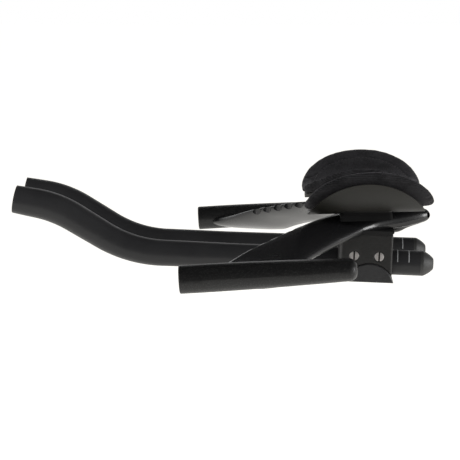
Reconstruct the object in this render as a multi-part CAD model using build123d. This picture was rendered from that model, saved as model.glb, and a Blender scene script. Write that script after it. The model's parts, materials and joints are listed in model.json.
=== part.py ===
from build123d import *
import os
from math import cos, pi, radians, sin, tan

# Axes: X forward, Y to the rider's left, Z up. The origin is the centre of the stem clamp section.
# Every piece is drawn on the left side and mirrored. Lengths are millimetres, angles degrees.

# Base bar
CLAMP_DIAMETER = 31.8
CLAMP_WIDTH = 50.0
GRIP_SPACING = 400.0
ARM_SWEEP = 169.0
ARM_DROP = 30.0
ARM_HEIGHT = 10.0
NECK_STEP = 0.4
NECK_PLACES = (-5.0, -2.0, 1.4)

# Grips
GRIP_TIP_X = 183.5
GRIP_TIP_Z = -31.6
GRIP_LENGTH = 143.5
GRIP_RISE = 3.6
GRIP_DIAMETER = 23.0
GRIP_TAIL_ROUND = 6.5
GRIP_RIM_ROUND = 1.2
GRIP_BORE = 19.6
GRIP_BORE_DEPTH = 60.0

# Shares of the grip's length from its tip, with the width, height and squareness there
GRIP_STATIONS = (
    (0.0, GRIP_DIAMETER, GRIP_DIAMETER, 2.0),
    (0.25, GRIP_DIAMETER, GRIP_DIAMETER, 2.0),
    (0.55, 25.0, 21.6, 2.1),
    (1.0, 22.0, 18.0, 2.15),
)

# Finger grooves on the front of each arm
GROOVE_COUNT = 5
GROOVE_FIRST_Y = 86.0
GROOVE_LAST_Y = 135.0
GROOVE_RADIUS = 9.0
GROOVE_DEPTH = 2.4

# Cable ports beside the stem
PORT_DIAMETER = 5.2
PORT_X = -26.0
PORT_Y = 36.0
PORT_Z = 1.5
PORT_DEPTH = 14.0
PORT_TURN = 55.0

# Extensions
TUBE_DIAMETER = 22.2
TUBE_BORE = 19.2
TUBE_PITCH = 1.97
TUBE_TOE_IN = 1.43
CLAMP_X = 27.0
CLAMP_Y = 42.5
TUBE_Z = -39.3
TAIL_LENGTH = 49.6
FRONT_STRAIGHT = 207.9
RISE_ANGLE = 29.0
RISE_RADIUS = 110.0
RISE_LENGTH = 77.1
LEVEL_ANGLE = 20.5
LEVEL_RADIUS = 100.0
TIP_LENGTH = 37.9
FLARE_START = 125.0
FLARE_DIAMETER = 25.5
FLARE_SHARES = (0.3, 0.6)
TIP_DIAMETER = 24.8

# End plugs
PLUG_FLANGE = 2.4
PLUG_LENGTH = 11.6
PLUG_NOSE = 4.6
PLUG_BULGE = 0.7
PLUG_ROUND = 2.4
PLUG_SHANK = 15.0

# Extension clamps, measured from the tube axis
BODY_LENGTH = 47.2
BODY_INNER = 15.5
BODY_OUTER = 29.5
BODY_TOP = 27.6
BODY_BOTTOM = 10.0
BODY_FRONT_ROUND = 5.0
BODY_REAR_BEVEL = 1.0
BODY_TOP_BEVEL = 3.0
CAP_RADIUS = 21.8
CAP_X = -4.4
CAP_Z = -19.8
CAP_BOTTOM = 14.2
CAP_PROUD = 1.5
CAP_BEVEL = 0.8
HOOK_REACH = 2.0
HOOK_THICKNESS = 1.8
HOOK_LENGTH = 32.0

# Bolts and barrel nuts
BOLT_DIAMETER = 5.0
BOLT_HEAD = 8.5
BOLT_HEAD_HEIGHT = 5.0
BOLT_KEY = 4.0
BOLT_KEY_DEPTH = 2.5
CAP_BOLT_Y = 20.5
CAP_BOLT_SPACING = 21.8
CAP_BOLT_X = -1.2
NUT_DIAMETER = 8.3
NUT_LENGTH = 16.5
NUT_Z = 8.5
NUT_SLOT = 1.5
NUT_SLOT_DEPTH = 1.6
NUT_BEVEL = 0.4
CUP_BOLT_Y = 54.0
CUP_BOLT_SPACING = 20.0
CUP_BOLT_LENGTH = 34.0
CUP_BOLT_HEAD = 10.0
CUP_BOLT_KEY = 3.0

# Arm cups, measured from the underside of the cup
CUP_X = 27.2
CUP_Y = 66.0
CUP_Z = 7.0
CUP_TILT = 1.8
CUP_RADIUS = 58.0
CUP_THICKNESS = 3.0
CUP_HALF_LENGTH = 50.8
CUP_INNER_REACH = 32.0
CUP_RIM_HEIGHT = 29.8
CUP_ARCH_DEPTH = 60.6
CUP_ARCH_LENGTH = 60.6
BOSS_LENGTH = 44.0
BOSS_WIDTH = 36.0
BOSS_HEIGHT = 2.9

# Arm pads and the hook patches that hold them
PAD_THICKNESS = 8.5
PAD_SHIFT = -2.6
PAD_HALF_LENGTH = 55.5
PAD_INNER_REACH = 36.0
PAD_RIM_HEIGHT = 39.3
PAD_ARCH_DEPTH = 37.5
PAD_ARCH_LENGTH = 56.1
PATCH_THICKNESS = 0.8
PATCH_LENGTH = 26.0
PATCH_WIDTH = 18.0
PATCH_SPREAD = 60.0

# Seats above and below the bar
RISER_LENGTH = 45.0
RISER_INNER = 17.0
RISER_OUTER = 17.0
RISER_DEPTH = 5.5
RISER_ROUND = 3.0
SHIM_HEIGHT = 3.4
SHIM_REAR = 0.8
SHIM_BEVEL = 2.0

# Clearances
SLIDE_CLEARANCE = 0.05
SEAT_CLEARANCE = 0.1
HOLE_CLEARANCE = 0.25
CAP_GAP = 0.5
OVERCUT = 1.0

# The arm from the neck out to the grip. Each row gives the distance from the middle as a share of half the
# grip spacing, the front and rear edges as shares of the sweep, the drop as a share of its own, the heights
# at the front and the rear and the rise from rear to front as shares of the height, and the squareness.
# The neck's own places are measured from the end of the stem clamp section.
ARM_STATIONS = (
    (0.160, 0.195, -0.166, -0.01, 2.30, 2.20, -0.05, 2.3),
    (0.190, 0.266, -0.183, -0.01, 1.90, 1.55, -0.18, 3.0),
    (0.225, 0.305, -0.127, 0.03, 1.65, 1.50, -0.06, 3.0),
    (0.260, 0.337, -0.030, 0.07, 1.45, 1.45, 0.22, 2.8),
    (0.310, 0.383, 0.104, 0.12, 1.22, 1.40, 0.54, 2.6),
    (0.400, 0.466, 0.225, 0.24, 0.89, 1.28, 0.89, 2.6),
    (0.500, 0.560, 0.331, 0.40, 0.84, 1.24, 1.07, 2.6),
    (0.590, 0.649, 0.414, 0.56, 0.84, 1.14, 1.08, 2.6),
    (0.710, 0.768, 0.512, 0.80, 0.88, 1.04, 1.20, 2.6),
    (0.810, 0.870, 0.553, 1.00, 1.05, 1.30, 0.86, 2.4),
    (0.885, 0.941, 0.556, 1.08, 1.30, 1.55, 0.30, 2.2),
    (0.950, 1.006, 0.533, 1.09, 1.40, 1.70, -0.20, 2.2),
    (1.000, 1.036, 0.509, 1.05, 1.40, 1.70, -0.20, 2.2),
)
SECTION_POINTS = 16

HALF_SPACING = GRIP_SPACING / 2
TUBE_RADIUS = TUBE_DIAMETER / 2
CLAMP_BORE = TUBE_RADIUS + SLIDE_CLEARANCE
PITCH = radians(TUBE_PITCH)
TOE_IN = radians(TUBE_TOE_IN)
TUBE_PLANE = Plane(
    origin=(CLAMP_X, CLAMP_Y, TUBE_Z),
    x_dir=(cos(PITCH) * cos(TOE_IN), -cos(PITCH) * sin(TOE_IN), sin(PITCH)),
    z_dir=(-sin(PITCH) * cos(TOE_IN), sin(PITCH) * sin(TOE_IN), cos(PITCH)),
)
CUP_PLACE = Location((CUP_X, CUP_Y, CUP_Z), (0, CUP_TILT, 0))
CUP_INSIDE = CUP_RADIUS - CUP_THICKNESS
CAP_BOLT_PLACES = tuple(CAP_BOLT_X + side * CAP_BOLT_SPACING / 2 for side in (-1, 1))
CUP_BOLT_PLACES = tuple((side * CUP_BOLT_SPACING / 2, CUP_BOLT_Y - CUP_Y) for side in (-1, 1))


def block(x, y, z):
    """A box from the ends of its three ranges."""
    size = (x[1] - x[0], y[1] - y[0], z[1] - z[0])
    return Pos((x[0] + x[1]) / 2, (y[0] + y[1]) / 2, (z[0] + z[1]) / 2) * Box(*size)


def rod(radius, start, end):
    """A round rod between two points."""
    along = Vector(end) - Vector(start)
    plane = Plane(origin=start, z_dir=along)
    return plane.location * Cylinder(radius, along.length, align=(Align.CENTER, Align.CENTER, Align.MIN))


def oval(plane, width, heights, squareness, rise=0.0):
    """A superellipse face on a plane: a circle at squareness 2, nearer a rectangle above it.

    Its two heights are those towards the plane's x direction and against it, and its middle line rises
    that way too."""

    def bulge(value):
        return (1 if value >= 0 else -1) * abs(value) ** (2 / squareness)

    mean = (heights[0] + heights[1]) / 2
    growth = (heights[0] - heights[1]) / 2
    points = []
    for i in range(SECTION_POINTS):
        turn = 2 * pi * i / SECTION_POINTS
        along = bulge(cos(turn))
        height = (mean + growth * along) * bulge(sin(turn)) + rise * along
        points.append((width / 2 * along, height / 2))
    return plane * make_face(Spline(*points, periodic=True))


def arm_plane(x, y, z):
    return Plane(origin=(x, y, z), x_dir=(1, 0, 0), z_dir=(0, -1, 0))


def arm():
    neck = CLAMP_DIAMETER - 2 * NECK_STEP
    sections = [
        oval(arm_plane(0, CLAMP_WIDTH / 2 + place, 0), neck, (neck, neck), 2) for place in NECK_PLACES
    ]
    for share, front, rear, drop, front_height, rear_height, rise, squareness in ARM_STATIONS:
        plane = arm_plane((front + rear) / 2 * ARM_SWEEP, share * HALF_SPACING, -drop * ARM_DROP)
        heights = (front_height * ARM_HEIGHT, rear_height * ARM_HEIGHT)
        sections.append(oval(plane, (front - rear) * ARM_SWEEP, heights, squareness, rise * ARM_HEIGHT))
    return loft(sections)


def arm_nose(y):
    """The foremost point of the arm at a distance from the middle, and the slope of its front edge there."""
    share = y / HALF_SPACING
    for near, far in zip(ARM_STATIONS, ARM_STATIONS[1:]):
        if near[0] <= share <= far[0]:
            part = (share - near[0]) / (far[0] - near[0])
            front, drop, rise = (near[i] + part * (far[i] - near[i]) for i in (1, 3, 6))
            slope = (far[1] - near[1]) * ARM_SWEEP / ((far[0] - near[0]) * HALF_SPACING)
            return Vector(front * ARM_SWEEP, y, rise * ARM_HEIGHT / 2 - drop * ARM_DROP), slope
    raise ValueError("the groove lies beyond the arm")


def grip_plane(distance):
    """A plane across the grip, a distance back from its tip."""
    rise = radians(GRIP_RISE)
    return Plane(
        origin=(
            GRIP_TIP_X - distance * cos(rise),
            HALF_SPACING,
            GRIP_TIP_Z + distance * sin(rise),
        ),
        x_dir=(0, 1, 0),
        z_dir=(cos(rise), 0, sin(-rise)),
    )


def grip():
    body = loft(
        [
            oval(grip_plane(share * GRIP_LENGTH), width, (height, height), squareness)
            for share, width, height, squareness in GRIP_STATIONS
        ]
    )
    ends = body.faces().sort_by(Axis.X)
    body = fillet(ends[0].edges(), GRIP_TAIL_ROUND)
    tip = body.faces().sort_by(Axis.X)[-1]
    return fillet(tip.edges(), GRIP_RIM_ROUND)


def grip_bore():
    mouth = grip_plane(-OVERCUT)
    return mouth.location * Cylinder(
        GRIP_BORE / 2, GRIP_BORE_DEPTH + OVERCUT, align=(Align.CENTER, Align.CENTER, Align.MAX)
    )


def finger_grooves():
    """Upright round cutters along the front edge of the arm."""
    pitch = (GROOVE_LAST_Y - GROOVE_FIRST_Y) / (GROOVE_COUNT - 1)
    grooves = []
    for i in range(GROOVE_COUNT):
        nose, slope = arm_nose(GROOVE_FIRST_Y + i * pitch)
        middle = nose + Vector(1, -slope, 0).normalized() * (GROOVE_RADIUS - GROOVE_DEPTH)
        grooves.append(Pos(*middle) * Cylinder(GROOVE_RADIUS, 2 * ARM_HEIGHT))
    return grooves


def cable_port():
    turn = radians(PORT_TURN)
    out = (-sin(turn), cos(turn), 0)
    start = [PORT_X - out[0] * PORT_DEPTH, PORT_Y - out[1] * PORT_DEPTH, PORT_Z]
    end = [PORT_X + out[0] * PORT_DEPTH, PORT_Y + out[1] * PORT_DEPTH, PORT_Z]
    return rod(PORT_DIAMETER / 2, start, end)


def cup_bolt_holes(radius):
    return [
        CUP_PLACE * rod(radius, (x, y, -CUP_BOLT_LENGTH - OVERCUT), (x, y, CUP_RADIUS))
        for x, y in CUP_BOLT_PLACES
    ]


def base_bar():
    half = arm() + grip()
    half = half - grip_bore() - finger_grooves() - cable_port()
    half = half - cup_bolt_holes(BOLT_DIAMETER / 2 + HOLE_CLEARANCE)
    middle = rod(CLAMP_DIAMETER / 2, (0, -CLAMP_WIDTH / 2, 0), (0, CLAMP_WIDTH / 2, 0))
    return middle + half + mirror(half, about=Plane.XZ)


def tube_path(start):
    """The line down the middle of the tube, from a distance ahead of the clamp to the tip."""
    straight = Line((start, 0), (FRONT_STRAIGHT - RISE_RADIUS * tan(radians(RISE_ANGLE / 2)), 0))
    rise = JernArc(straight @ 1, straight % 1, RISE_RADIUS, RISE_ANGLE)
    slant_length = (
        RISE_LENGTH
        - RISE_RADIUS * tan(radians(RISE_ANGLE / 2))
        - LEVEL_RADIUS * tan(radians(LEVEL_ANGLE / 2))
    )
    slant = Line(rise @ 1, rise @ 1 + (rise % 1) * slant_length)
    level = JernArc(slant @ 1, slant % 1, LEVEL_RADIUS, -LEVEL_ANGLE)
    tip_length = TIP_LENGTH - LEVEL_RADIUS * tan(radians(LEVEL_ANGLE / 2))
    tip = Line(level @ 1, level @ 1 + (level % 1) * tip_length)
    return Plane.XZ * Wire([straight, rise, slant, level, tip])


def extension():
    path = tube_path(FLARE_START)
    corner = FRONT_STRAIGHT - FLARE_START
    growth = FLARE_DIAMETER - TUBE_DIAMETER
    stops = (
        (0, TUBE_DIAMETER),
        (corner / 2, TUBE_DIAMETER + FLARE_SHARES[0] * growth),
        (corner, TUBE_DIAMETER + FLARE_SHARES[1] * growth),
        (corner + RISE_LENGTH / 2, FLARE_DIAMETER),
        (path.length, TIP_DIAMETER),
    )
    sections = []
    for distance, diameter in stops:
        share = distance / path.length
        sections.append(Plane(origin=path @ share, z_dir=path % share) * Circle(diameter / 2))
    bend = sweep(sections, path, multisection=True)
    straight = rod(TUBE_RADIUS, (-TAIL_LENGTH, 0, 0), (FLARE_START, 0, 0))
    whole = tube_path(-TAIL_LENGTH)
    inside = sweep(Plane(origin=whole @ 0, z_dir=whole % 0) * Circle(TUBE_BORE / 2), whole)
    return straight + bend - inside


def end_plug():
    face = -TAIL_LENGTH
    shank = TUBE_BORE / 2 - SLIDE_CLEARANCE
    shoulder = Vector(face - PLUG_FLANGE, TUBE_RADIUS)
    nose = Vector(face - PLUG_LENGTH, PLUG_NOSE)
    slope = (nose - shoulder).normalized()
    middle = (shoulder + nose) / 2 + Vector(slope.Y, -slope.X) * PLUG_BULGE
    outline = Polyline(
        nose,
        (nose.X, 0),
        (face + PLUG_SHANK, 0),
        (face + PLUG_SHANK, shank),
        (face, shank),
        (face, TUBE_RADIUS),
        shoulder,
    )
    plug = revolve(Plane.XZ * make_face([outline, ThreePointArc(shoulder, middle, nose)]), Axis.X)
    return fillet(plug.faces().sort_by(Axis.X)[0].edges(), PLUG_ROUND)


def cap_cylinder(radius, y):
    return rod(radius, (CAP_X, y[0], CAP_Z), (CAP_X, y[1], CAP_Z))


def hook(clearance):
    """The lip of the body that the cap's inner edge rests on."""
    wall = BODY_INNER - HOOK_THICKNESS
    half = HOOK_LENGTH / 2 + clearance
    low = -BODY_BOTTOM - HOOK_THICKNESS - clearance
    lip = block(
        (CAP_X - half, CAP_X + half),
        (-BODY_INNER, -wall + HOOK_REACH + clearance),
        (low, -BODY_BOTTOM + clearance),
    )
    cheek = block((CAP_X - half, CAP_X + half), (-BODY_INNER, -wall + clearance), (low, CAP_BEVEL))
    return lip + cheek


def tube_bore():
    return rod(CLAMP_BORE, (-2 * BODY_LENGTH, 0, 0), (2 * BODY_LENGTH, 0, 0))


def cap_bolt_rods(radius, low, high):
    return [rod(radius, (x, CAP_BOLT_Y, low), (x, CAP_BOLT_Y, high)) for x in CAP_BOLT_PLACES]


def clamp_body(bar):
    half = BODY_LENGTH / 2
    body = block((-half, half), (-BODY_INNER, BODY_OUTER), (-BODY_BOTTOM, BODY_TOP))
    inner_top = body.faces().sort_by(Axis.Y)[0].edges().sort_by(Axis.Z)[-1]
    body = chamfer(inner_top, BODY_TOP_BEVEL)
    uprights = body.edges().filter_by(Axis.Z).sort_by(Axis.X)
    body = fillet(uprights[2:], BODY_FRONT_ROUND)
    uprights = body.edges().filter_by(Axis.Z).sort_by(Axis.X)
    body = chamfer(uprights[:2], BODY_REAR_BEVEL)
    body = body - cap_cylinder(CAP_RADIUS + CAP_GAP, (-2 * BODY_INNER, 2 * BODY_OUTER))
    body = body + hook(0) - tube_bore()
    nuts = [
        rod(
            NUT_DIAMETER / 2 + SLIDE_CLEARANCE,
            (x, BODY_OUTER - NUT_LENGTH - SEAT_CLEARANCE, NUT_Z),
            (x, BODY_OUTER + OVERCUT, NUT_Z),
        )
        for x in CAP_BOLT_PLACES
    ]
    bolts = cap_bolt_rods(BOLT_DIAMETER / 2 + HOLE_CLEARANCE, -2 * CAP_BOTTOM, NUT_Z + NUT_DIAMETER)
    body = TUBE_PLANE.location * (body - nuts - bolts)
    return largest(body - bar - cup_bolt_holes(BOLT_DIAMETER / 2 + SLIDE_CLEARANCE))


def clamp_cap():
    outer = BODY_OUTER + CAP_PROUD
    cap = cap_cylinder(CAP_RADIUS, (-BODY_INNER + HOOK_THICKNESS + SEAT_CLEARANCE, outer))
    cap = cap & block((-BODY_LENGTH, BODY_LENGTH), (-BODY_OUTER, 2 * outer), (-CAP_BOTTOM, CAP_RADIUS))
    cap = chamfer(cap.faces().sort_by(Axis.Y)[-1].edges(), CAP_BEVEL)
    cap = cap - tube_bore() - hook(SEAT_CLEARANCE)
    cap = cap - cap_bolt_rods(BOLT_DIAMETER / 2 + HOLE_CLEARANCE, -2 * CAP_BOTTOM, CAP_RADIUS)
    head = BOLT_HEAD / 2 + HOLE_CLEARANCE
    return TUBE_PLANE.location * (
        cap - cap_bolt_rods(head, -2 * CAP_BOTTOM, -CAP_BOTTOM + BOLT_HEAD_HEIGHT)
    )


def hex_socket(width, depth):
    return extrude(RegularPolygon(width / 2, 6, major_radius=False), depth)


def cap_bolts():
    seat = -CAP_BOTTOM + BOLT_HEAD_HEIGHT
    bolts = []
    for x in CAP_BOLT_PLACES:
        shank = rod(BOLT_DIAMETER / 2, (0, 0, seat), (0, 0, NUT_Z + NUT_DIAMETER / 2))
        head = rod(BOLT_HEAD / 2, (0, 0, -CAP_BOTTOM), (0, 0, seat))
        head = chamfer(head.edges().sort_by(Axis.Z)[0], BOLT_KEY_DEPTH / 5)
        bolt = shank + head - Pos(0, 0, -CAP_BOTTOM) * hex_socket(BOLT_KEY, BOLT_KEY_DEPTH)
        bolts.append(TUBE_PLANE.location * Pos(x, CAP_BOLT_Y, 0) * bolt)
    return Compound(bolts)


def barrel_nuts():
    nuts = []
    for x in CAP_BOLT_PLACES:
        nut = rod(NUT_DIAMETER / 2, (0, BODY_OUTER - NUT_LENGTH, 0), (0, BODY_OUTER, 0))
        nut = chamfer(nut.edges().sort_by(Axis.Y)[-1], NUT_BEVEL)
        slot = block(
            (-NUT_SLOT / 2, NUT_SLOT / 2),
            (BODY_OUTER - NUT_SLOT_DEPTH, BODY_OUTER + OVERCUT),
            (-NUT_DIAMETER, NUT_DIAMETER),
        )
        thread = rod(
            BOLT_DIAMETER / 2 + SLIDE_CLEARANCE,
            (0, CAP_BOLT_Y, -NUT_DIAMETER),
            (0, CAP_BOLT_Y, NUT_DIAMETER),
        )
        nuts.append(TUBE_PLANE.location * Pos(x, 0, NUT_Z) * (nut - slot - thread))
    return Compound(nuts)


def saddle_shim(bar):
    half = BODY_LENGTH / 2
    shim = block(
        (-half - SHIM_REAR, half - BODY_FRONT_ROUND / 2),
        (-BODY_INNER, BODY_OUTER),
        (BODY_TOP, BODY_TOP + SHIM_HEIGHT),
    )
    low_rear = shim.edges().filter_by(Axis.Y).sort_by(Axis.X)[:2].sort_by(Axis.Z)[0]
    shim = TUBE_PLANE.location * chamfer(low_rear, SHIM_BEVEL)
    holes = cup_bolt_holes(BOLT_DIAMETER / 2 + HOLE_CLEARANCE)
    return largest(shim - bar - holes)


def riser(bar):
    seat = block(
        (-RISER_LENGTH / 2, RISER_LENGTH / 2),
        (-RISER_INNER, RISER_OUTER),
        (-RISER_DEPTH, 0),
    )
    seat = CUP_PLACE * fillet(seat.edges().filter_by(Axis.Z), RISER_ROUND)
    return largest(seat - bar - cup_bolt_holes(BOLT_DIAMETER / 2 + HOLE_CLEARANCE))


def largest(shape):
    return shape.solids().sort_by(SortBy.VOLUME)[-1]


def trough(outside, inside, half_length, inner_reach, rim_height, arch):
    """A shell bent round the forearm: an arch from the side, half an ellipse in plan at the inner edge."""
    centre = CUP_RADIUS
    far = 3 * CUP_RADIUS
    ends = (-far, 0, centre), (far, 0, centre)
    shell = rod(outside, *ends) - rod(inside, *ends)
    side = Pos(0, rim_height - arch[1]) * Ellipse(*arch)
    side = extrude(Plane.XZ * side, far, both=True)
    plan = Ellipse(half_length, inner_reach) + Pos(0, far / 2) * Rectangle(2 * half_length, far)
    return shell & side & Pos(0, 0, -far) * extrude(plan, far + centre)


def arm_cup():
    arch = (CUP_ARCH_LENGTH, CUP_ARCH_DEPTH)
    cup = trough(CUP_RADIUS, CUP_INSIDE, CUP_HALF_LENGTH, CUP_INNER_REACH, CUP_RIM_HEIGHT, arch)
    boss = block(
        (-BOSS_LENGTH / 2, BOSS_LENGTH / 2), (-BOSS_WIDTH / 2, BOSS_WIDTH / 2), (0, BOSS_HEIGHT)
    )
    cup = cup + fillet(boss.edges().filter_by(Axis.Z), RISER_ROUND)
    for x, y in CUP_BOLT_PLACES:
        cup = cup - Pos(x, y, 0) * bolt_shape(HOLE_CLEARANCE, CUP_RADIUS / 4)
    return CUP_PLACE * cup


def bolt_shape(clearance, above):
    """A countersunk bolt whose head lies just below the inside of the cup."""
    top = CUP_THICKNESS
    half_head = CUP_BOLT_HEAD / 2 + clearance
    half_shank = BOLT_DIAMETER / 2 + clearance
    cone_height = half_head - half_shank
    cone = Pos(0, 0, top - cone_height / 2) * Cone(half_shank, half_head, cone_height)
    shank = rod(half_shank, (0, 0, top - CUP_BOLT_LENGTH), (0, 0, top - cone_height))
    if above:
        return cone + shank + rod(half_head, (0, 0, top), (0, 0, top + above))
    return cone + shank


def cup_bolts():
    socket = Pos(0, 0, CUP_THICKNESS - BOLT_KEY_DEPTH) * hex_socket(CUP_BOLT_KEY, BOLT_KEY_DEPTH + OVERCUT)
    bolt = bolt_shape(0, 0) - socket
    return Compound([CUP_PLACE * Pos(x, y, 0) * bolt for x, y in CUP_BOLT_PLACES])


def arm_pad():
    outside = CUP_INSIDE - PATCH_THICKNESS - 2 * SEAT_CLEARANCE
    arch = (PAD_ARCH_LENGTH, PAD_ARCH_DEPTH)
    inside = outside - PAD_THICKNESS
    pad = trough(outside, inside, PAD_HALF_LENGTH, PAD_INNER_REACH, PAD_RIM_HEIGHT, arch)
    return CUP_PLACE * Pos(PAD_SHIFT, 0, 0) * pad


def hook_patches():
    far = CUP_RADIUS
    outside = CUP_INSIDE - SEAT_CLEARANCE
    shell = rod(outside, (-far, 0, far), (far, 0, far))
    shell = shell - rod(outside - PATCH_THICKNESS, (-far, 0, far), (far, 0, far))
    patches = []
    for side in (-1, 1):
        sheet = Pos(side * PATCH_SPREAD / 2, 0) * RectangleRounded(PATCH_WIDTH, PATCH_LENGTH, RISER_ROUND)
        patches.append(CUP_PLACE * largest(shell & extrude(sheet, far)))
    return Compound(patches)


def save(shape, name):
    export_step(shape, f"parts/{name}.step")


def save_pair(shape, name):
    save(shape, "left_" + name)
    save(mirror(shape, about=Plane.XZ), "right_" + name)


os.makedirs("parts", exist_ok=True)
bar = base_bar()
save(bar, "base_bar")
save_pair(TUBE_PLANE.location * extension(), "extension")
save_pair(TUBE_PLANE.location * end_plug(), "end_plug")
save_pair(clamp_body(bar), "clamp_body")
save_pair(clamp_cap(), "clamp_cap")
save_pair(cap_bolts(), "cap_bolts")
save_pair(barrel_nuts(), "barrel_nuts")
save_pair(saddle_shim(bar), "saddle_shim")
save_pair(riser(bar), "riser")
save_pair(arm_cup(), "arm_cup")
save_pair(cup_bolts(), "cup_bolts")
save_pair(hook_patches(), "hook_patches")
save_pair(arm_pad(), "arm_pad")
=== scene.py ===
import json
from math import atan2, ceil, cos, exp, floor, pi, radians, sin

import bpy
from mathutils import Matrix, Vector
from mathutils.bvhtree import BVHTree


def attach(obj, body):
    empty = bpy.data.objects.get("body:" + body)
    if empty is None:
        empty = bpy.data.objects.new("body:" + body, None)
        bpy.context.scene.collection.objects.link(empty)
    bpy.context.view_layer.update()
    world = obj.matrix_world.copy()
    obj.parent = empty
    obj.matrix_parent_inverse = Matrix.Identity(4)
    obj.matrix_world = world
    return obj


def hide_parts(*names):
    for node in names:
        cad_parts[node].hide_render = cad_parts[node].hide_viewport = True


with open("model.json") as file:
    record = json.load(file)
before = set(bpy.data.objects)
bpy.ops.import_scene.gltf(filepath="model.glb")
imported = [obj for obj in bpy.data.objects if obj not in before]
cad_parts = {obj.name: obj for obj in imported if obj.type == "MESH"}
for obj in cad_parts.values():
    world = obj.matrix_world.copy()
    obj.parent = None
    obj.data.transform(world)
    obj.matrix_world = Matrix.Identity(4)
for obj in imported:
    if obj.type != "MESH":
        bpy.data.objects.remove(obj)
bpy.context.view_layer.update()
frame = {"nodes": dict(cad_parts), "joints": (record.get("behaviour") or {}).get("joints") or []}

# Camera
CAMERA_PLACE = Vector((0.1094, 1.6781, 0.2036))
CAMERA_LOOK = Vector((0.02219, -0.99119, -0.13059))
CAMERA_LENS = 145.6
SENSOR = 36.0

# Studio, with cards that only gloss sees
FLOOR_Z = -0.26
FLOOR_SIZE = 40.0
FLOOR_COLOUR = 0.8
FLOOR_TINT = (1.0, 0.985, 0.945)
FLOOR_GLOW = 0.7
SKY_STRENGTH = 0.45
CEILING_Z = 0.9
CEILING_FRONT = 9.0
CEILING_BACK = -1.3
FLAG_Y = 0.75
FLAG_HEIGHT = 1.1
CARD_WIDTH = 8.0
CARD_COLOUR = 0.05

# Lamps: place, target, size, power in watts, and whether gloss mirrors them
LAMP_SIZE = (0.8, 0.5)
LAMP_TARGET = (0.03, 0.2, -0.03)
LAMPS = {
    "key": ((0.5, 1.2, 0.8), (0.1, 0, 0), LAMP_SIZE, 9.0, False),
    "front": ((1.6, 0.6, 0.2), LAMP_TARGET, LAMP_SIZE, 12.0, True),
    "side": ((-1.35, 0.6, 0.2), LAMP_TARGET, LAMP_SIZE, 20.0, True),
}

# Grain of the materials, in cells per metre, and the range that most of a noise lies in
SATIN_MOTTLE = 35.0
METAL_MOTTLE = 60.0
BAR_MOTTLE = 30.0
BAR_GRAIN = 2600.0
GRIP_SPECKS = 1150.0
GRIP_EDGE_GRAIN = 900.0
KNIT_PATCHES = 45.0
KNIT_FUZZ = 700.0
HOOKS = 900.0
PRINT_WEAR = 1500.0
THREAD_TWIST = 2500.0
BRUSHED_LINES = (250.0, 2500.0, 2500.0)
TURNED_LINES = (1800.0, 300.0, 1800.0)
NOISE_RANGE = (0.3, 0.7)

# Rounding of edges in the shading
EDGE_ROUND = 0.0004
BAR_EDGE_ROUND = 0.0005
CLAMP_EDGE_ROUND = 0.002
NUT_EDGE_ROUND = 0.0001

# Extensions and their scale
SIDES = {"left": 1, "right": -1}
TUBE_RADIUS = 0.0111
CLAMP_CENTRE = Vector((0.027, 0.0425, -0.0393))
TAIL = -0.0496
SCALE_FIRST = 0.0104
SCALE_STEP = 0.010
SCALE_COUNT = 6
RING_WIDTH = 0.0007
RING_ARC = 80.0
RING_STEPS = 28
PRINT_HEIGHT = 0.00005
NUMBER_SIZE = 0.0032
NUMBER_GAP = 0.0011

# Depths under the nuts' faces of the painted shade in their slots: full at the first, none at the second
SLOT_SHADE_FULL = 0.0012
SLOT_SHADE_START = 0.0009

# Grips
GRIP_START = 0.1868
GRIP_BLEND = 0.0016
SPECK_RANGE = (0.52, 0.68)

# Arm cups, as in the frame: the forearm's axis runs through CUP_AXIS
CUP_AXIS = Vector((0.0272, 0.066, 0.065))
CUP_TILT = 1.8
CUP_RADIUS = 0.058
# Painted shade at the cup's seat on the riser: the heights between which it fades out, its half width along
# the cup, and its blend
SEAT_SHADE_HEIGHTS = (0.0088, 0.0112)
SEAT_SHADE_HALF = 0.0232
SEAT_SHADE_BLEND = 0.0008

# Arm pads: the solid's radii, and how its cover is softened, swollen and fitted
PAD_OUTSIDE = 0.054
PAD_INSIDE = 0.0455
PAD_WELD = 0.00002
PAD_VOXEL = 0.0025
PAD_SMOOTHING = 0.5
PAD_SMOOTH_ROUNDS = 7
PAD_SHRINK = 0.0004
PAD_HELD_DEPTH = 2.2 * PAD_SHRINK
PAD_CLOTH = {
    "quality": 6,
    "mass": 0.3,
    "tension_stiffness": 18,
    "compression_stiffness": 18,
    "shear_stiffness": 6,
    "bending_stiffness": 0.6,
    "use_pressure": True,
    "uniform_pressure_force": 4.0,
    "vertex_group_mass": "held",
}
PAD_FRAMES = 20
PAD_MOST_SWELL = 0.003
PAD_EVENING = 20
PAD_REACH = 0.975
PAD_SECTORS = 72
FLAT_PITCH = 0.0008
RIM_SPAN = 0.002
EDGE_CLEAR = 0.0002
PAD_TUCK = 0.05

# Knit: the scales of its ribs and loops, and the range of its tone
KNIT_WAVES = {"X": 0.34, "Y": 0.24}
KNIT_TONE = (0.34, 0.6)

# Seams
SEAM_INSET = 0.0085
SEAM_DEPTH = 0.0007
SEAM_WIDTH = 0.0011
STITCH_PITCH = 0.0033
STITCH_LENGTH = 0.0023
STITCH_RADIUS = 0.00022
STITCH_SIDES = 6
STITCH_PROFILE = ((0, -0.8, 0.6), (0.2, 0.5, 1), (0.5, 0.9, 1), (0.8, 0.5, 1), (1, -0.8, 0.6))


# Nodes and materials
def add_node(tree, kind, **values):
    """A shader node with its settings and, by socket name, its input values."""
    made = tree.nodes.new(kind)
    for name, value in values.items():
        if hasattr(made, name):
            setattr(made, name, value)
        else:
            made.inputs[name.replace("_", " ")].default_value = value
    return made


def new_material(name, **values):
    material = bpy.data.materials.new(name)
    material.use_nodes = True
    tree = material.node_tree
    shader = tree.nodes["Principled BSDF"]
    for key, value in values.items():
        shader.inputs[key.replace("_", " ")].default_value = value
    return material, tree, shader


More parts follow.
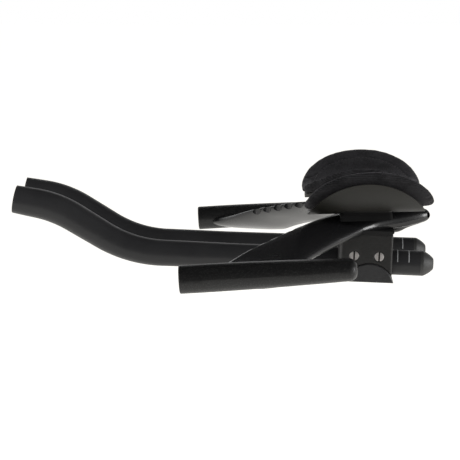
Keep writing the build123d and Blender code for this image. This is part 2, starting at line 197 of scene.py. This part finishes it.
def place_of(tree, stretch=(1, 1, 1)):
    """The point on the object in metres, stretched along its axes."""
    where = add_node(tree, "ShaderNodeTexCoord")
    mapping = add_node(tree, "ShaderNodeMapping")
    mapping.inputs["Scale"].default_value = stretch
    tree.links.new(where.outputs["Object"], mapping.inputs["Vector"])
    return mapping.outputs["Vector"]


def place_along(tree, axis):
    where = add_node(tree, "ShaderNodeSeparateXYZ")
    tree.links.new(place_of(tree), where.inputs["Vector"])
    return where.outputs[axis]


def noise(tree, place, scale, detail=2.0, rough=0.5):
    made = add_node(tree, "ShaderNodeTexNoise", Scale=scale, Detail=detail, Roughness=rough)
    tree.links.new(place, made.inputs["Vector"])
    return made.outputs["Fac"]


def spread(tree, value, low, high, from_low=0.0, from_high=1.0):
    """A value moved from one range to another, held at the ends."""
    made = add_node(tree, "ShaderNodeMapRange", clamp=True)
    made.inputs["From Min"].default_value = from_low
    made.inputs["From Max"].default_value = from_high
    made.inputs["To Min"].default_value = low
    made.inputs["To Max"].default_value = high
    tree.links.new(value, made.inputs["Value"])
    return made.outputs["Result"]


def between(tree, share, first, second):
    """A colour mixed from two by a share."""
    made = add_node(tree, "ShaderNodeMix", data_type="RGBA")
    tree.links.new(share, made.inputs["Factor"])
    for name, value in (("A", first), ("B", second)):
        socket = next(s for s in made.inputs if s.name == name and s.type == "RGBA")
        if isinstance(value, tuple):
            socket.default_value = (*value, 1.0)
        else:
            tree.links.new(value, socket)
    return next(s for s in made.outputs if s.type == "RGBA")


def maths(tree, operation, first, second):
    made = add_node(tree, "ShaderNodeMath", operation=operation)
    for socket, value in zip(made.inputs, (first, second)):
        if isinstance(value, (int, float)):
            socket.default_value = value
        else:
            tree.links.new(value, socket)
    return made.outputs["Value"]


def surface(tree, shader, height, depth, edge_round=EDGE_ROUND):
    """Bump of a depth in metres over rounded edges."""
    bump = add_node(tree, "ShaderNodeBump", Strength=1.0, Distance=depth)
    tree.links.new(height, bump.inputs["Height"])
    if edge_round:
        bevel = add_node(tree, "ShaderNodeBevel", samples=4, Radius=edge_round)
        tree.links.new(bevel.outputs["Normal"], bump.inputs["Normal"])
    tree.links.new(bump.outputs["Normal"], shader.inputs["Normal"])


def finish_of(tree, shader, name, value):
    tree.links.new(value, shader.inputs[name])


def satin(name, dark, light, roughness, grain, depth, **values):
    """A painted, moulded or anodised skin: soft mottling, fine grain, uneven gloss."""
    material, tree, shader = new_material(name, **values)
    place = place_of(tree)
    mottle = noise(tree, place, SATIN_MOTTLE, 4.0)
    fine = noise(tree, place, grain, 3.0, 0.6)
    blend = maths(tree, "ADD", maths(tree, "MULTIPLY", mottle, 0.6), maths(tree, "MULTIPLY", fine, 0.4))
    tone = spread(tree, blend, 0, 1, *NOISE_RANGE)
    finish_of(tree, shader, "Base Color", between(tree, tone, dark, light))
    finish_of(tree, shader, "Roughness", spread(tree, blend, *roughness, *NOISE_RANGE))
    surface(tree, shader, fine, depth)
    return material


def brushed(name, dark, light, roughness, stretch, depth, edge_round=EDGE_ROUND, **values):
    """Metal with fine lines along the axis that is stretched least."""
    material, tree, shader = new_material(name, **values)
    lines = noise(tree, place_of(tree, stretch), 1.0, 4.0, 0.65)
    mottle = noise(tree, place_of(tree), METAL_MOTTLE, 3.0)
    tone = spread(tree, lines, 0, 1, *NOISE_RANGE)
    finish_of(tree, shader, "Base Color", between(tree, tone, dark, light))
    gloss = maths(tree, "ADD", maths(tree, "MULTIPLY", lines, 0.5), maths(tree, "MULTIPLY", mottle, 0.5))
    finish_of(tree, shader, "Roughness", spread(tree, gloss, *roughness, *NOISE_RANGE))
    surface(tree, shader, lines, depth, edge_round)
    return material


def bar_black():
    """Satin black over the arms, and a speckled anti-slip coat on the grips."""
    material, tree, shader = new_material(
        "bar_black", Coat_Weight=0.14, Coat_Roughness=0.08, Specular_IOR_Level=0.28
    )
    place = place_of(tree)
    out = maths(tree, "ABSOLUTE", place_along(tree, "Y"), 0)
    ragged = maths(tree, "SUBTRACT", noise(tree, place, GRIP_EDGE_GRAIN), 0.5)
    edge = maths(tree, "MULTIPLY", ragged, GRIP_BLEND)
    coat = spread(tree, maths(tree, "ADD", out, edge), 0, 1, GRIP_START, GRIP_START + GRIP_BLEND)
    mottle = noise(tree, place, BAR_MOTTLE, 4.0)
    fine = noise(tree, place, BAR_GRAIN, 2.0)
    specks = spread(tree, noise(tree, place, GRIP_SPECKS, 2.0, 0.7), 0, 1, *SPECK_RANGE)
    skin = between(tree, mottle, (0.0045, 0.0045, 0.0048), (0.0075, 0.0075, 0.008))
    grit = between(tree, specks, (0.002, 0.002, 0.0022), (0.014, 0.0138, 0.0132))
    finish_of(tree, shader, "Base Color", between(tree, coat, skin, grit))
    smooth = spread(tree, mottle, 0.22, 0.28, *NOISE_RANGE)
    dull = spread(tree, specks, 0.52, 0.42)
    step = maths(tree, "MULTIPLY", maths(tree, "SUBTRACT", dull, smooth), coat)
    finish_of(tree, shader, "Roughness", maths(tree, "ADD", smooth, step))
    height = maths(tree, "ADD", maths(tree, "MULTIPLY", specks, coat), maths(tree, "MULTIPLY", fine, 0.05))
    surface(tree, shader, height, 0.00007, BAR_EDGE_ROUND)
    return material


def pad_knit():
    """A fine black knit: ribs one way, loops the other, over soft uneven foam."""
    material, tree, shader = new_material(
        "pad_knit",
        Sheen_Weight=0.2,
        Sheen_Roughness=0.45,
        Sheen_Tint=(0.42, 0.405, 0.43, 1.0),
        Specular_IOR_Level=0.15,
    )
    flat = add_node(tree, "ShaderNodeUVMap", uv_map="unrolled")
    weave = []
    for direction, scale in KNIT_WAVES.items():
        wave = add_node(tree, "ShaderNodeTexWave", bands_direction=direction, Scale=scale,
                        Distortion=1.2, Detail_Scale=1.5)
        tree.links.new(flat.outputs["UV"], wave.inputs["Vector"])
        weave.append(wave.outputs["Fac"])
    yarn = maths(tree, "MULTIPLY", *weave)
    place = place_of(tree)
    patches = noise(tree, place, KNIT_PATCHES, 5.0, 0.6)
    fuzz = noise(tree, place, KNIT_FUZZ, 3.0, 0.7)
    foam = maths(tree, "ADD", maths(tree, "MULTIPLY", patches, 0.4), maths(tree, "MULTIPLY", fuzz, 0.4))
    tone = maths(tree, "ADD", maths(tree, "MULTIPLY", yarn, 0.2), foam)
    light = spread(tree, tone, 0, 1, *KNIT_TONE)
    colour = between(tree, light, (0.002, 0.002, 0.0022), (0.019, 0.0184, 0.0202))
    finish_of(tree, shader, "Base Color", colour)
    finish_of(tree, shader, "Roughness", spread(tree, tone, 0.95, 0.78, *KNIT_TONE))
    height = maths(tree, "ADD", yarn, maths(tree, "MULTIPLY", fuzz, 0.5))
    surface(tree, shader, height, 0.00018, 0)
    return material


def with_painted_shade(material, clear, colour, roughness):
    """A material given painted shade: it turns dark and dull where the unshaded share falls to 0."""
    tree = material.node_tree
    shader = tree.nodes["Principled BSDF"]
    skin = shader.inputs["Base Color"].links[0].from_socket
    gloss = shader.inputs["Roughness"].links[0].from_socket
    finish_of(tree, shader, "Base Color", between(tree, clear, colour, skin))
    dull = maths(tree, "MULTIPLY", maths(tree, "SUBTRACT", 1, clear), roughness)
    finish_of(tree, shader, "Roughness", maths(tree, "MAXIMUM", gloss, dull))
    return material


def stainless():
    """Turned nuts, with painted shade in their slots."""
    material = brushed("stainless", (0.52, 0.49, 0.48), (0.7, 0.67, 0.66), (0.3, 0.42),
                       TURNED_LINES, depth=0.00003, edge_round=NUT_EDGE_ROUND, Metallic=1.0)
    tree = material.node_tree
    face = max(abs(v.co.y) for v in frame["nodes"]["left_barrel_nuts"].data.vertices)
    out = maths(tree, "ABSOLUTE", place_along(tree, "Y"), 0)
    # painted shade in the slots: dark colour and dull gloss below the nut's face
    clear = spread(tree, out, 0, 1, face - SLOT_SHADE_FULL, face - SLOT_SHADE_START)
    return with_painted_shade(material, clear, (0.05, 0.047, 0.046), 0.8)


def cup_grey():
    """Warm grey moulding, with painted shade that turns it black at the seat on the riser."""
    material = satin("cup_grey", (0.0075, 0.0072, 0.0058), (0.011, 0.0105, 0.0085), (0.42, 0.55),
                     grain=1100.0, depth=0.00007, Specular_IOR_Level=0.22)
    tree = material.node_tree
    # painted shade: near-black below the seat heights, in the cup's middle
    above = spread(tree, place_along(tree, "Z"), 0, 1, *SEAT_SHADE_HEIGHTS)
    off = maths(tree, "ABSOLUTE", maths(tree, "SUBTRACT", place_along(tree, "X"), CUP_AXIS.x), 0)
    beside = spread(tree, off, 0, 1, SEAT_SHADE_HALF, SEAT_SHADE_HALF + SEAT_SHADE_BLEND)
    return with_painted_shade(material, maths(tree, "MAXIMUM", above, beside), (0.001, 0.001, 0.001), 1.0)


def hook_tape():
    """Stiff little hooks standing close together on black tape."""
    material, tree, shader = new_material("hook_tape", Roughness=0.7)
    dots = add_node(tree, "ShaderNodeTexVoronoi", Scale=HOOKS)
    tree.links.new(place_of(tree), dots.inputs["Vector"])
    near = spread(tree, dots.outputs["Distance"], 1, 0, 0.1, 0.6)
    finish_of(tree, shader, "Base Color", between(tree, near, (0.003, 0.003, 0.003), (0.022, 0.022, 0.024)))
    surface(tree, shader, near, 0.0003)
    return material


def printed_white():
    material, tree, shader = new_material("printed_white", Roughness=0.55)
    worn = noise(tree, place_of(tree), PRINT_WEAR, 3.0)
    finish_of(tree, shader, "Base Color", between(tree, worn, (0.2, 0.205, 0.21), (0.32, 0.325, 0.33)))
    return material


def thread_black():
    material, tree, shader = new_material("thread_black", Roughness=0.7, Sheen_Weight=0.15)
    twist = noise(tree, place_of(tree), THREAD_TWIST, 2.0)
    colour = between(tree, twist, (0.004, 0.004, 0.0045), (0.015, 0.0146, 0.0165))
    finish_of(tree, shader, "Base Color", colour)
    surface(tree, shader, twist, 0.0001, 0)
    return material


def make_materials():
    """A material for each kind of node."""
    black_steel = satin("black_steel", (0.03, 0.03, 0.031), (0.05, 0.05, 0.05), (0.32, 0.44),
                        grain=1500.0, depth=0.00003, Metallic=0.9)
    return {
        "base_bar": bar_black(),
        "extension": satin("tube_black", (0.0115, 0.0115, 0.0124), (0.0165, 0.0165, 0.0174), (0.43, 0.5),
                           grain=1800.0, depth=0.00003, Coat_Weight=0.06, Coat_Roughness=0.1,
                           Specular_IOR_Level=0.22),
        "end_plug": satin("plug_black", (0.012, 0.012, 0.012), (0.02, 0.02, 0.0195), (0.5, 0.62),
                          grain=1300.0, depth=0.00008),
        "clamp_body": brushed("clamp_grey", (0.018, 0.0178, 0.0175), (0.03, 0.0297, 0.029), (0.36, 0.5),
                              BRUSHED_LINES, depth=0.00002, edge_round=CLAMP_EDGE_ROUND, Metallic=0.6,
                              Specular_IOR_Level=0.4),
        "clamp_cap": brushed("cap_grey", (0.034, 0.034, 0.035), (0.048, 0.048, 0.049), (0.34, 0.46),
                             BRUSHED_LINES, depth=0.00002, Metallic=0.7),
        "cap_bolts": black_steel,
        "barrel_nuts": stainless(),
        "saddle_shim": satin("shim_black", (0.004, 0.004, 0.004), (0.007, 0.007, 0.007), (0.6, 0.75),
                             grain=900.0, depth=0.00006, Specular_IOR_Level=0.2),
        "riser": satin("riser_black", (0.003, 0.003, 0.003), (0.006, 0.006, 0.006), (0.6, 0.75),
                       grain=900.0, depth=0.00006, Specular_IOR_Level=0.05),
        "arm_cup": cup_grey(),
        "cup_bolts": black_steel,
        "hook_patches": hook_tape(),
    }


# Shapes
def new_piece(name, verts, faces, material, body, slot):
    mesh = bpy.data.meshes.new(name)
    mesh.from_pydata([tuple(v) for v in verts], [], faces)
    mesh.update()
    return place_piece(name, mesh, material, body)


def place_piece(name, mesh, material, body):
    piece = bpy.data.objects.new(name, mesh)
    bpy.context.scene.collection.objects.link(piece)
    mesh.materials.clear()
    mesh.materials.append(material)
    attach(piece, body)
    return piece


def evaluated_mesh(piece):
    depsgraph = bpy.context.evaluated_depsgraph_get()
    return bpy.data.meshes.new_from_object(piece.evaluated_get(depsgraph))


def tube_frame(side):
    """The clamp's centre on the tube axis, the axis, and the directions across and up."""
    joint = next(j for j in frame["joints"] if j["name"] == f"{side}_extension_slide")
    along = Vector(joint["axis"]).normalized()
    across = Vector((0, 0, 1)).cross(along).normalized()
    centre = Vector((CLAMP_CENTRE.x, CLAMP_CENTRE.y * SIDES[side], CLAMP_CENTRE.z))
    return centre, along, across, along.cross(across)


def on_tube(where, distance, angle, height):
    """A point over the tube: a distance along it, an angle from the top, a height above the skin."""
    centre, along, across, up = where
    radius = TUBE_RADIUS + height
    return centre + along * distance + (across * sin(angle) + up * cos(angle)) * radius


def scale_rings(where):
    """Half rings over the top of the tube, each a thin raised strip."""
    verts, faces = [], []
    arc = radians(RING_ARC)
    corners = ((-1, -PRINT_HEIGHT), (-1, PRINT_HEIGHT), (1, PRINT_HEIGHT), (1, -PRINT_HEIGHT))
    for i in range(SCALE_COUNT):
        middle = TAIL + SCALE_FIRST + i * SCALE_STEP
        start = len(verts)
        for k in range(RING_STEPS + 1):
            angle = arc * (2 * k / RING_STEPS - 1)
            for edge, height in corners:
                verts.append(on_tube(where, middle + edge * RING_WIDTH / 2, angle, height))
        for k in range(RING_STEPS):
            a = start + 4 * k
            faces += [(a + j, a + (j + 1) % 4, a + 4 + (j + 1) % 4, a + 4 + j) for j in range(4)]
        last = start + 4 * RING_STEPS
        faces += [(start + 3, start + 2, start + 1, start), (last, last + 1, last + 2, last + 3)]
    return verts, faces


def number_mesh(digit):
    """A plain digit as a flat raised mesh about its middle."""
    text = bpy.data.curves.new("digit", "FONT")
    text.body = digit
    text.size = NUMBER_SIZE
    text.align_x = "CENTER"
    text.align_y = "CENTER"
    text.extrude = PRINT_HEIGHT
    text.resolution_u = 3
    holder = bpy.data.objects.new("digit", text)
    bpy.context.scene.collection.objects.link(holder)
    mesh = evaluated_mesh(holder)
    bpy.data.objects.remove(holder)
    return mesh


def scale_numbers(where):
    """The rings' numbers, on the top of the tube in front of each ring, read from the rider's seat."""
    verts, faces = [], []
    for i in range(SCALE_COUNT):
        middle = TAIL + SCALE_FIRST + i * SCALE_STEP + RING_WIDTH / 2 + NUMBER_GAP + NUMBER_SIZE / 2
        mesh = number_mesh(str(i + 1))
        start = len(verts)
        for v in mesh.vertices:
            verts.append(on_tube(where, middle + v.co.y, -v.co.x / TUBE_RADIUS, v.co.z))
        faces += [tuple(start + j for j in p.vertices) for p in mesh.polygons]
    return verts, faces


def make_scale(side, white):
    """The rings and numbers printed on one tail."""
    where = tube_frame(side)
    body = f"{side}_tube"
    new_piece(f"{side}_scale_rings", *scale_rings(where), white, body, "tube_black")
    new_piece(f"{side}_scale_numbers", *scale_numbers(where), white, body, "tube_black")


# Arm pads
def pad_frame(side):
    """From the row frame to the pad's own: X along the forearm, the axis of the trough at the origin."""
    axis = Vector((CUP_AXIS.x, CUP_AXIS.y * SIDES[side], CUP_AXIS.z))
    turn = Matrix.Rotation(radians(CUP_TILT), 4, "Y")
    up = Vector((0, 0, CUP_RADIUS))
    place = Matrix.Translation(axis - up) @ turn @ Matrix.Translation(up)
    return place.inverted()


def unrolled(point):
    """Along the forearm, round the trough, and the distance from its axis."""
    return point.x, atan2(point.y, -point.z), Vector((point.y, point.z)).length


def rolled(x, angle, radius):
    return Vector((x, radius * sin(angle), -radius * cos(angle)))


def rim_tree(node, to_pad):
    """A search tree of the faces round the edge of the pad's solid, in the pad's own frame."""
    points = [to_pad @ v.co for v in node.data.vertices]
    rim = []
    for face in node.data.polygons:
        radii = [unrolled(points[i])[2] for i in face.vertices]
        if max(radii) - min(radii) > RIM_SPAN:
            rim.append(tuple(face.vertices))
    return BVHTree.FromPolygons(points, rim), points, rim


def softened(node):
    """The pad's solid with rounded edges, a little smaller so that it can swell."""
    rough = bpy.data.objects.new("rough_pad", node.data.copy())
    bpy.context.scene.collection.objects.link(rough)
    weld = rough.modifiers.new("weld", "WELD")
    weld.merge_threshold = PAD_WELD
    remesh = rough.modifiers.new("remesh", "REMESH")
    remesh.mode = "VOXEL"
    remesh.voxel_size = PAD_VOXEL
    smooth = rough.modifiers.new("smooth", "SMOOTH")
    smooth.factor = PAD_SMOOTHING
    smooth.iterations = PAD_SMOOTH_ROUNDS
    shrink = rough.modifiers.new("shrink", "DISPLACE")
    shrink.strength = -PAD_SHRINK
    shrink.mid_level = 0.0
    mesh = evaluated_mesh(rough)
    bpy.data.objects.remove(rough)
    return mesh


def evened(mesh, steps, rounds):
    """Each point's step averaged with its neighbours', so that the cover swells without creases."""
    near = [[] for _ in mesh.vertices]
    for edge in mesh.edges:
        a, b = edge.vertices
        near[a].append(b)
        near[b].append(a)
    for _ in range(rounds):
        steps = [sum((steps[j] for j in close), step) / (1 + len(close)) for step, close in zip(steps, near)]
    return steps


def swollen(mesh, to_pad):
    """The pad's cover blown up by its foam, held where it lies in the cup."""
    bag = bpy.data.objects.new("bag", mesh)
    bpy.context.scene.collection.objects.link(bag)
    rest = [v.co.copy() for v in mesh.vertices]
    held = bag.vertex_groups.new(name="held")
    for v in mesh.vertices:
        radius = unrolled(to_pad @ v.co)[2]
        if radius > PAD_OUTSIDE - PAD_HELD_DEPTH:
            held.add([v.index], 1.0, "REPLACE")
    cloth = bag.modifiers.new("cloth", "CLOTH")
    for name, value in PAD_CLOTH.items():
        setattr(cloth.settings, name, value)
    cloth.settings.effector_weights.gravity = 0
    scene = bpy.context.scene
    for f in range(1, PAD_FRAMES + 1):
        scene.frame_set(f)
    moved = evaluated_mesh(bag)
    scene.frame_set(1)
    bpy.data.objects.remove(bag)
    steps = [v.co - start for v, start in zip(moved.vertices, rest)]
    steps = [step * min(1, PAD_MOST_SWELL / max(step.length, 1e-9)) for step in steps]
    for v, start, step in zip(moved.vertices, rest, evened(moved, steps, PAD_EVENING)):
        v.co = start + step
    return moved


def tucked(mesh, to_pad):
    """The cover's edge rolled under: its outside drawn in, so that it bulges half way through."""
    from_pad = to_pad.inverted()
    middle = (PAD_INSIDE + PAD_OUTSIDE) / 2
    for v in mesh.vertices:
        x, angle, radius = unrolled(to_pad @ v.co)
        under = max(0.0, radius - middle) / (PAD_OUTSIDE - middle)
        share = 1 - PAD_TUCK * under ** 2
        v.co = from_pad @ rolled(x * share, angle * share, radius)


def sector_of(off):
    """The direction of a flat point from the pad's middle, counted in sectors."""
    return atan2(off.y, off.x) / (2 * pi) % 1 * PAD_SECTORS


def farthest(flats, middle):
    """The greatest distance from the middle in each sector."""
    reach = [0.0] * PAD_SECTORS
    for flat in flats:
        i = int(sector_of(flat - middle)) % PAD_SECTORS
        reach[i] = max(reach[i], (flat - middle).length)
    return reach


def reach_towards(reach, off):
    """The reach in a direction, blended between the middles of two sectors."""
    turn = sector_of(off) - 0.5
    i = floor(turn)
    share = turn - i
    return reach[i % PAD_SECTORS] * (1 - share) + reach[(i + 1) % PAD_SECTORS] * share


def flat_points(points, faces):
    """Flat points all along the edges of a solid's faces."""
    flats = []
    for face in faces:
        for i, j in zip(face, face[1:] + face[:1]):
            steps = ceil((points[j] - points[i]).length / FLAT_PITCH)
            for k in range(steps):
                x, angle, radius = unrolled(points[i].lerp(points[j], k / steps))
                flats.append(Vector((x, angle * PAD_INSIDE)))
    return flats


def fitted(mesh, footprint, to_pad):
    """The cover drawn out to the solid's edge in every direction, most at its own edge.

    Round the trough it stops at a share of the solid's reach.
    """
    from_pad = to_pad.inverted()
    places = [unrolled(to_pad @ v.co) for v in mesh.vertices]
    flats = [Vector((x, angle * PAD_INSIDE)) for x, angle, radius in places]
    along = [p.x for p in footprint]
    around = [p.y for p in footprint]
    middle = Vector((min(along) + max(along), min(around) + max(around))) / 2
    goal = [Vector((p.x, middle.y + (p.y - middle.y) * PAD_REACH)) for p in footprint]
    solid = farthest(goal, middle)
    cover = farthest(flats, middle)
    for v, flat, place in zip(mesh.vertices, flats, places):
        off = flat - middle
        reach = reach_towards(cover, off)
        most = reach_towards(solid, off) / reach - 1
        flat = middle + off * (1 + most * (off.length / reach) ** 2)
        v.co = from_pad @ rolled(flat.x, flat.y / PAD_INSIDE, place[2])


def finer(mesh, levels):
    holder = bpy.data.objects.new("holder", mesh)
    bpy.context.scene.collection.objects.link(holder)
    divide = holder.modifiers.new("divide", "SUBSURF")
    divide.levels = levels
    made = evaluated_mesh(holder)
    bpy.data.objects.remove(holder)
    return made


def press_seam(mesh, to_pad, rim):
    """A sewn groove that runs round the top of the pad, inside its edge."""
    from_pad = to_pad.inverted()
    for v in mesh.vertices:
        point = to_pad @ v.co
        x, angle, radius = unrolled(point)
        if radius < (PAD_INSIDE + PAD_OUTSIDE) / 2:
            inset = rim.find_nearest(point)[3]
            depth = SEAM_DEPTH * exp(-(((inset - SEAM_INSET) / SEAM_WIDTH) ** 2))
            v.co = from_pad @ rolled(x, angle, radius + depth)


def lay_out(mesh, to_pad):
    """Coordinates for the knit in millimetres, as if the cover lay flat."""
    layer = mesh.uv_layers.new(name="unrolled")
    for loop in mesh.loops:
        x, angle, radius = unrolled(to_pad @ mesh.vertices[loop.vertex_index].co)
        layer.data[loop.index].uv = (x * 1000, angle * PAD_INSIDE * 1000)


def seam_line(points, rim):
    """The seam as a loop of flat points: the solid's inner edge, moved inwards."""
    edge = set()
    for face in rim:
        for i in face:
            x, angle, radius = unrolled(points[i])
            if abs(radius - PAD_INSIDE) < EDGE_CLEAR:
                edge.add((round(x, 6), round(angle * PAD_INSIDE, 6)))
    middle = Vector((sum(p[0] for p in edge), sum(p[1] for p in edge))) / len(edge)
    loop = sorted((Vector(p) for p in edge), key=lambda p: atan2(p.y - middle.y, p.x - middle.x))
    inset = []
    for i, p in enumerate(loop):
        along = (loop[(i + 2) % len(loop)] - loop[i - 2]).normalized()
        inset.append(p + Vector((-along.y, along.x)) * SEAM_INSET)
    return inset


def walk(loop, pitch):
    """Points at even steps round a closed loop, with the direction there."""
    places = []
    carried = 0.0
    for a, b in zip(loop, loop[1:] + loop[:1]):
        length = (b - a).length
        while carried < length:
            places.append((a.lerp(b, carried / length), (b - a).normalized()))
            carried += pitch
        carried -= length
    return places


def stitch(start, end, out):
    """One stitch: a thin thread that rises from the seam and dips back."""
    along = (end - start).normalized()
    side = along.cross(out).normalized()
    rings = []
    turns = [2 * pi * k / STITCH_SIDES for k in range(STITCH_SIDES)]
    for share, rise, thick in STITCH_PROFILE:
        middle = start.lerp(end, share) + out * rise * STITCH_RADIUS
        rings.append([middle + (side * cos(t) + out * sin(t)) * STITCH_RADIUS * thick for t in turns])
    return rings


def tube_faces(start, rings):
    """The faces of a closed tube whose rings of points begin at a place in the list."""
    n = STITCH_SIDES
    faces = []
    for r in range(rings - 1):
        a = start + n * r
        faces += [(a + k, a + (k + 1) % n, a + n + (k + 1) % n, a + n + k) for k in range(n)]
    last = start + n * (rings - 1)
    return faces + [tuple(start + k for k in reversed(range(n))), tuple(last + k for k in range(n))]


def seam_stitches(side, pad, loop, to_pad, thread):
    """Thread that lies in the seam, on the swollen pad."""
    from_pad = to_pad.inverted()
    points = [to_pad @ v.co for v in pad.vertices]
    skin = BVHTree.FromPolygons(points, [tuple(p.vertices) for p in pad.polygons])
    verts, faces = [], []
    for place, along in walk(loop, STITCH_PITCH):
        ends = []
        for step in (-STITCH_LENGTH / 2, STITCH_LENGTH / 2):
            flat = place + along * step
            angle = flat.y / PAD_INSIDE
            outward = rolled(0, angle, 1)
            hit = skin.ray_cast(rolled(flat.x, angle, PAD_INSIDE / 2), outward)[0]
            ends.append((hit, -outward))
        if ends[0][0] is None or ends[1][0] is None:
            continue
        rings = stitch(ends[0][0], ends[1][0], ends[0][1])
        faces += tube_faces(len(verts), len(rings))
        verts += [from_pad @ v for ring in rings for v in ring]
    new_piece(f"{side}_pad_stitches", verts, faces, thread, "base", "pad_fabric")


def make_pad(side, knit, thread):
    """A swollen, sewn cover in place of the pad's plain solid."""
    node = frame["nodes"][f"{side}_arm_pad"]
    to_pad = pad_frame(side)
    rim, points, rim_faces = rim_tree(node, to_pad)
    mesh = softened(node)
    mesh = swollen(mesh, to_pad)
    mesh = finer(mesh, 1)
    tucked(mesh, to_pad)
    footprint = flat_points(points, [tuple(face.vertices) for face in node.data.polygons])
    fitted(mesh, footprint, to_pad)
    press_seam(mesh, to_pad, rim)
    lay_out(mesh, to_pad)
    mesh.polygons.foreach_set("use_smooth", [True] * len(mesh.polygons))
    pad = place_piece(f"{side}_pad_cover", mesh, knit, "base")
    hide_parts(f"{side}_arm_pad")
    seam_stitches(side, mesh, seam_line(points, rim_faces), to_pad, thread)


# Studio
def white_for_sight(tree):
    """1 for rays that show the background: those of the camera, of gloss and of glass."""
    path = add_node(tree, "ShaderNodeLightPath")
    seen = maths(tree, "MAXIMUM", path.outputs["Is Camera Ray"], path.outputs["Is Glossy Ray"])
    return maths(tree, "MAXIMUM", seen, path.outputs["Is Transmission Ray"])


def make_world():
    world = bpy.data.worlds.new("studio")
    bpy.context.scene.world = world
    world.use_nodes = True
    tree = world.node_tree
    background = tree.nodes["Background"]
    background.inputs["Color"].default_value = (1, 1, 1, 1)
    strength = spread(tree, white_for_sight(tree), SKY_STRENGTH, 1.0)
    tree.links.new(strength, background.inputs["Strength"])


def flat_sheet(name, size, place):
    x, y = (length / 2 for length in size)
    mesh = bpy.data.meshes.new(name)
    mesh.from_pydata([(-x, -y, 0), (x, -y, 0), (x, y, 0), (-x, y, 0)], [], [(0, 1, 2, 3)])
    sheet = bpy.data.objects.new(name, mesh)
    sheet.location = place
    bpy.context.scene.collection.objects.link(sheet)
    return sheet


def make_floor():
    material, tree, shader = new_material("floor_pale", Roughness=0.9, Specular_IOR_Level=0.0)
    shader.inputs["Base Color"].default_value = (*(FLOOR_COLOUR * part for part in FLOOR_TINT), 1)
    shader.inputs["Emission Color"].default_value = (*FLOOR_TINT, 1)
    glow = maths(tree, "MULTIPLY", white_for_sight(tree), FLOOR_GLOW)
    tree.links.new(glow, shader.inputs["Emission Strength"])
    floor = flat_sheet("floor", (FLOOR_SIZE, FLOOR_SIZE), (0, 0, FLOOR_Z))
    floor.data.materials.append(material)


def make_cards():
    """Dark cards overhead and in front: faces mirror them as black, and still get their light."""
    material, tree, shader = new_material("card_dark", Roughness=1.0, Specular_IOR_Level=0.0)
    shader.inputs["Base Color"].default_value = (CARD_COLOUR, CARD_COLOUR, CARD_COLOUR, 1)
    depth = CEILING_FRONT - CEILING_BACK
    middle = (CEILING_FRONT + CEILING_BACK) / 2
    ceiling = flat_sheet("ceiling_card", (CARD_WIDTH, depth), (0, middle, CEILING_Z))
    flag = flat_sheet("front_card", (CARD_WIDTH, FLAG_HEIGHT), (0, FLAG_Y, FLOOR_Z + FLAG_HEIGHT / 2))
    flag.rotation_euler.x = radians(90)
    for card in (ceiling, flag):
        card.data.materials.append(material)
        card.visible_camera = False
        card.visible_diffuse = False
        card.visible_shadow = False


def area_light(name, place, target, size, power, mirrored):
    light = bpy.data.lights.new(name, "AREA")
    light.shape = "RECTANGLE"
    light.size, light.size_y = size
    light.energy = power
    lamp = bpy.data.objects.new(name, light)
    lamp.location = place
    lamp.rotation_mode = "QUATERNION"
    lamp.rotation_quaternion = (Vector(target) - Vector(place)).to_track_quat("-Z", "Y")
    lamp.visible_camera = False
    lamp.visible_glossy = mirrored
    bpy.context.scene.collection.objects.link(lamp)


def make_lights():
    for name, settings in LAMPS.items():
        area_light(name, *settings)


def make_camera():
    data = bpy.data.cameras.new("camera")
    data.sensor_width = SENSOR
    data.lens = CAMERA_LENS
    camera = bpy.data.objects.new("camera", data)
    camera.location = CAMERA_PLACE
    camera.rotation_mode = "QUATERNION"
    camera.rotation_quaternion = CAMERA_LOOK.to_track_quat("-Z", "Y")
    bpy.context.scene.collection.objects.link(camera)
    bpy.context.scene.camera = camera


def dress(materials):
    """Each node of the frame in the material of its kind."""
    for name, node in frame["nodes"].items():
        kind = name.removeprefix("left_").removeprefix("right_")
        if kind in materials:
            for socket in node.material_slots:
                socket.material = materials[kind]


bpy.context.scene.view_settings.view_transform = "Standard"
make_camera()
make_world()
make_floor()
make_cards()
make_lights()
dress(make_materials())
white = printed_white()
knit = pad_knit()
thread = thread_black()
for side in SIDES:
    make_scale(side, white)
    make_pad(side, knit, thread)
